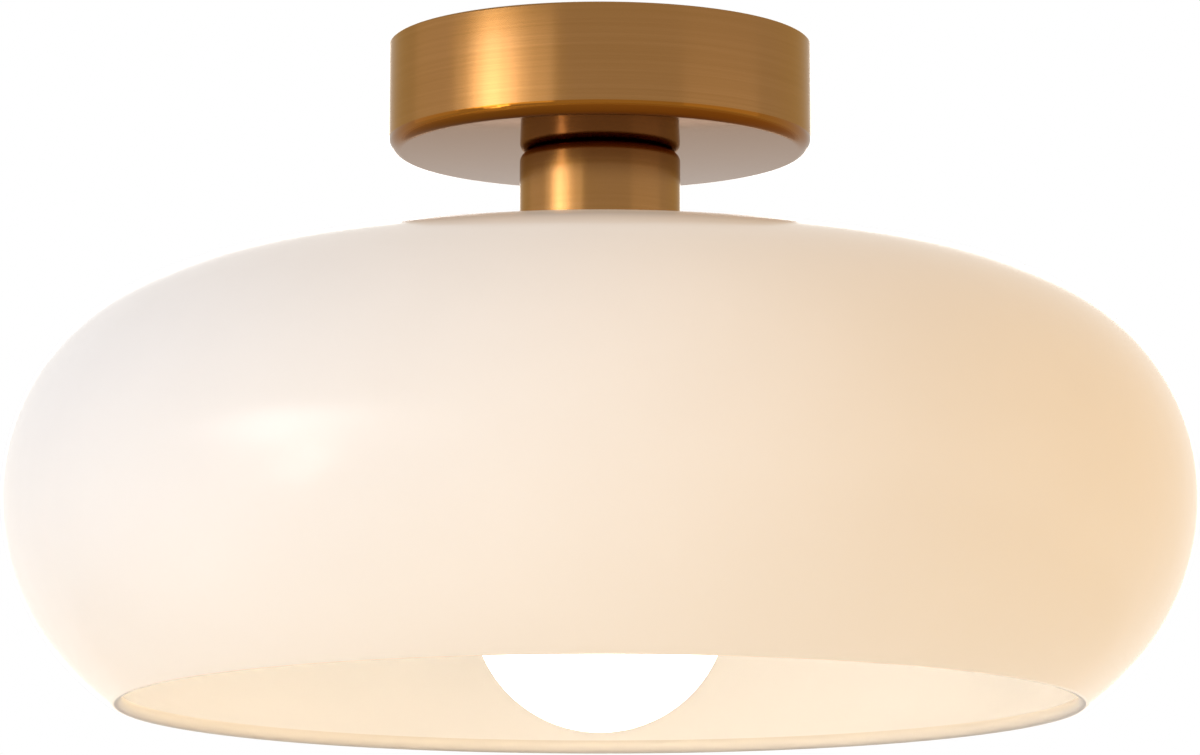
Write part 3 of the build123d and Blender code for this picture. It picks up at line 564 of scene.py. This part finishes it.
def plain_metal(name, low, high, roughness):
    """Turned or rolled bare metal."""
    material, tree, shader = new_material(name, Metallic=1.0)
    lines = place_group(tree, HAIRLINES, Strength=METAL_LINE_STRENGTH).outputs["Lines"]
    drift = place_group(tree, DRIFT, Scale=METAL_CLOUDS).outputs["Drift"]
    tone = math_node(tree, "MULTIPLY_ADD", drift, METAL_CLOUD_SHARE, lines)
    toned(tree, shader, tone, low, high)
    roughened(tree, shader, drift, roughness, METAL_GLOSS_SPREAD)
    bumped(tree, shader, lines, METAL_LINE_HEIGHT)
    return material


def moulded(name, low, high, roughness, skin=MOULDED_SKIN, **sockets):
    """Moulded plastic, porcelain, rubber or lacquer: a slight drift of tone and a fine skin."""
    material, tree, shader = new_material(name, **sockets)
    drift = place_group(tree, DRIFT, Scale=MOULDED_CLOUDS, Speckle_Scale=MOULDED_SPECKLE)
    toned(tree, shader, drift.outputs["Drift"], low, high)
    roughened(tree, shader, drift.outputs["Speckle"], roughness, MOULDED_GLOSS_SPREAD)
    bumped(tree, shader, drift.outputs["Speckle"], skin)
    return material


def opal_glass(name, low, high, roughness):
    """Opal glass: milky, with a soft gloss and a faint unevenness from blowing."""
    material, tree, shader = new_material(name, IOR=OPAL_IOR)
    drift = place_group(tree, DRIFT, Scale=OPAL_CLOUDS).outputs["Drift"]
    toned(tree, shader, drift, low, high)
    roughened(tree, shader, drift, roughness, OPAL_GLOSS_SPREAD)
    bumped(tree, shader, drift, OPAL_WAVE_HEIGHT)
    return material, tree, shader


def opal_outside_painted_glow():
    """The outer face, with a painted glow in place of the bulb's light that comes through,
    strongest near the rim.
    """
    material, tree, shader = opal_glass("opal_outside_painted_glow", OPAL_DARK, OPAL_LIGHT, OPAL_ROUGHNESS)
    height = tree.nodes.new("ShaderNodeMapRange")
    height.inputs["From Min"].default_value = level("glass_shade", False)
    height.inputs["From Max"].default_value = level("glass_shade", True)
    tree.links.new(coordinate(tree, "Object")["Z"], height.inputs["Value"])
    # painted glow, from the rim's colour to the crown's by height, for the light the bulb sends
    # through the glass
    painted_glow = colour_mix(tree, height.outputs["Result"], PAINTED_GLOW_AT_RIM, PAINTED_GLOW_AT_CROWN)
    tree.links.new(painted_glow, shader.inputs["Emission Color"])
    shader.inputs["Emission Strength"].default_value = PAINTED_GLOW_STRENGTH
    return material


def opal_inside():
    """The inner face, which the bulb lights."""
    return opal_glass("opal_inside", OPAL_DARK, OPAL_LIGHT, OPAL_ROUGHNESS)[0]


def opal_rim():
    """The ground lip, duller and a little browner than the faces: partly the ground edge's own
    look, partly painted shade that holds the lip down against the bulb's stronger light on it.
    """
    return opal_glass("opal_rim", GROUND_EDGE_AND_SHADE_DARK, GROUND_EDGE_AND_SHADE_LIGHT, GROUND_ROUGHNESS)[0]


def lit_diffuser():
    """The bulb's frosted dome, alight."""
    material, tree, shader = new_material(
        "lit_dome", Emission_Color=BULB_LIGHT, Emission_Strength=BULB_STRENGTH
    )
    drift = place_group(tree, DRIFT, Scale=DOME_CLOUDS, Speckle_Scale=DOME_SPECKLE)
    toned(tree, shader, drift.outputs["Drift"], DOME_DARK, DOME_LIGHT)
    roughened(tree, shader, drift.outputs["Speckle"], DOME_ROUGHNESS, DOME_GLOSS_SPREAD)
    return material


def make_materials():
    """The finish of each of the record's slots."""
    finishes = {
        "satin_brass": satin_brass(),
        "opal_glass": opal_outside_painted_glow(),
        "earth_green": moulded(*GREEN_LACQUER, Metallic=GREEN_METALLIC),
        "gasket_rubber": moulded(*PALE_RUBBER, skin=RUBBER_SKIN),
        "bulb_diffuser": lit_diffuser(),
    }
    for slot, finish in METALS.items():
        finishes[slot] = plain_metal(*finish)
    for slot, finish in MOULDINGS.items():
        finishes[slot] = moulded(*finish)
    return finishes


def facing(source, target):
    """The turn of a lamp at source that looks at target."""
    return (Vector(target) - Vector(source)).to_track_quat("-Z", "Y").to_euler()


def area_lamp(name, target, azimuth, distance, height, size, power, colour):
    """A soft rectangular lamp that looks at the light."""
    data = bpy.data.lights.new(name, "AREA")
    data.shape = "RECTANGLE"
    data.size, data.size_y = size
    data.energy = power
    data.color = colour
    lamp = bpy.data.objects.new(name, data)
    angle = math.radians(azimuth)
    across, forward = distance * math.sin(angle), distance * math.cos(angle)
    lamp.location = (-across, -forward, target[2] + height)
    lamp.rotation_euler = facing(lamp.location, target)
    bpy.context.scene.collection.objects.link(lamp)


def seen_directly(tree):
    """1 for what the camera, a mirror or glass looks at, and 0 for the light on surfaces."""
    path = tree.nodes.new("ShaderNodeLightPath").outputs
    seen = math_node(tree, "MAXIMUM", path["Is Camera Ray"], path["Is Glossy Ray"])
    return math_node(tree, "MAXIMUM", seen, path["Is Transmission Ray"])


def make_world():
    """White where the camera, a mirror or glass looks; elsewhere soft light, warm on the right."""
    world = bpy.data.worlds.new("studio")
    bpy.context.scene.world = world
    world.use_nodes = True
    tree = world.node_tree
    direction = coordinate(tree, "Generated")
    colour = vector_node(tree, "MULTIPLY_ADD", direction["X"], AMBIENT_ACROSS, AMBIENT_MIDDLE)
    colour = vector_node(tree, "MULTIPLY_ADD", direction["Y"], AMBIENT_DEPTH, colour)
    colour = vector_node(tree, "MULTIPLY_ADD", direction["Z"], AMBIENT_UP, colour)
    colour = vector_node(tree, "MAXIMUM", colour, DARKEST)
    ambient = tree.nodes["Background"]
    tree.links.new(colour, ambient.inputs["Color"])
    white = tree.nodes.new("ShaderNodeBackground")
    white.inputs["Color"].default_value = WHITE
    mix = tree.nodes.new("ShaderNodeMixShader")
    seen = seen_directly(tree)
    set_inputs(tree, mix, (seen, ambient.outputs["Background"], white.outputs["Background"]))
    tree.links.new(mix.outputs["Shader"], tree.nodes["World Output"].inputs["Surface"])


def make_floor(height):
    """A plain pale floor, clear when seen from below."""
    bm = bmesh.new()
    bmesh.ops.create_circle(bm, cap_ends=True, segments=FLOOR_SEGMENTS, radius=FLOOR_RADIUS)
    bmesh.ops.translate(bm, verts=bm.verts, vec=(0, 0, height))
    mesh = bpy.data.meshes.new("floor")
    bm.to_mesh(mesh)
    bm.free()
    floor = bpy.data.objects.new("floor", mesh)
    bpy.context.scene.collection.objects.link(floor)
    material, tree, shader = new_material(
        "pale_floor", Roughness=FLOOR_ROUGHNESS, Emission_Color=WHITE
    )
    drift = place_group(tree, DRIFT, Scale=FLOOR_CLOUDS).outputs["Drift"]
    toned(tree, shader, drift, FLOOR_DARK, FLOOR_LIGHT)
    lift = math_node(tree, "MULTIPLY", seen_directly(tree), FLOOR_LIFT)
    tree.links.new(lift, shader.inputs["Emission Strength"])
    clear = tree.nodes.new("ShaderNodeBsdfTransparent")
    back = tree.nodes.new("ShaderNodeNewGeometry").outputs["Backfacing"]
    mix = tree.nodes.new("ShaderNodeMixShader")
    set_inputs(tree, mix, (back, shader.outputs["BSDF"], clear.outputs["BSDF"]))
    tree.links.new(mix.outputs["Shader"], tree.nodes["Material Output"].inputs["Surface"])
    mesh.materials.append(material)


def make_camera(rim):
    """The photograph's viewpoint: in front, below the rim and looking up."""
    data = bpy.data.cameras.new("camera")
    data.sensor_fit = "HORIZONTAL"
    data.sensor_width = SENSOR_WIDTH
    data.lens = FOCAL_PIXELS / PHOTO_WIDTH * SENSOR_WIDTH
    camera = bpy.data.objects.new("camera", data)
    camera.location = (0, -CAMERA_BACK, rim - CAMERA_BELOW_RIM)
    camera.rotation_euler = (QUARTER + CAMERA_PITCH, 0, 0)
    bpy.context.scene.collection.objects.link(camera)
    bpy.context.scene.camera = camera


def dress_nodes(materials):
    """Gives every node of the frame the finish of its slot."""
    slots = {entry["node"]: entry["material_slot"] for entry in frame["record"]["subparts"]}
    for name, node in frame["nodes"].items():
        node.data.materials.clear()
        node.data.materials.append(materials[slots[name]])


materials = make_materials()
dress_nodes(materials)
satin, polished = materials["satin_brass"], polished_brass()
canopy_finishes = (satin, polished)
turned_piece("canopy_drum", "canopy", "fixture", canopy_chains(), canopy_finishes)
turned_piece("brass_cup", "socket_cup", "fixture", cup_chains(), (satin,))
opal_finishes = (materials["opal_glass"], opal_rim(), opal_inside())
turned_piece("opal_shade", "glass_shade", "shade", shade_chains(), opal_finishes)
dome_finishes = (materials["bulb_diffuser"],)
turned_piece("bulb_dome", "bulb_diffuser", "bulb", dome_chains(), dome_finishes)

rim_level = level("glass_shade", False)
make_camera(rim_level)
make_world()
make_floor(rim_level - FLOOR_DROP)
for lamp_name, settings in LAMPS.items():
    area_lamp(lamp_name, (0, 0, rim_level / 2), **settings)
bpy.context.scene.view_settings.view_transform = "Standard"
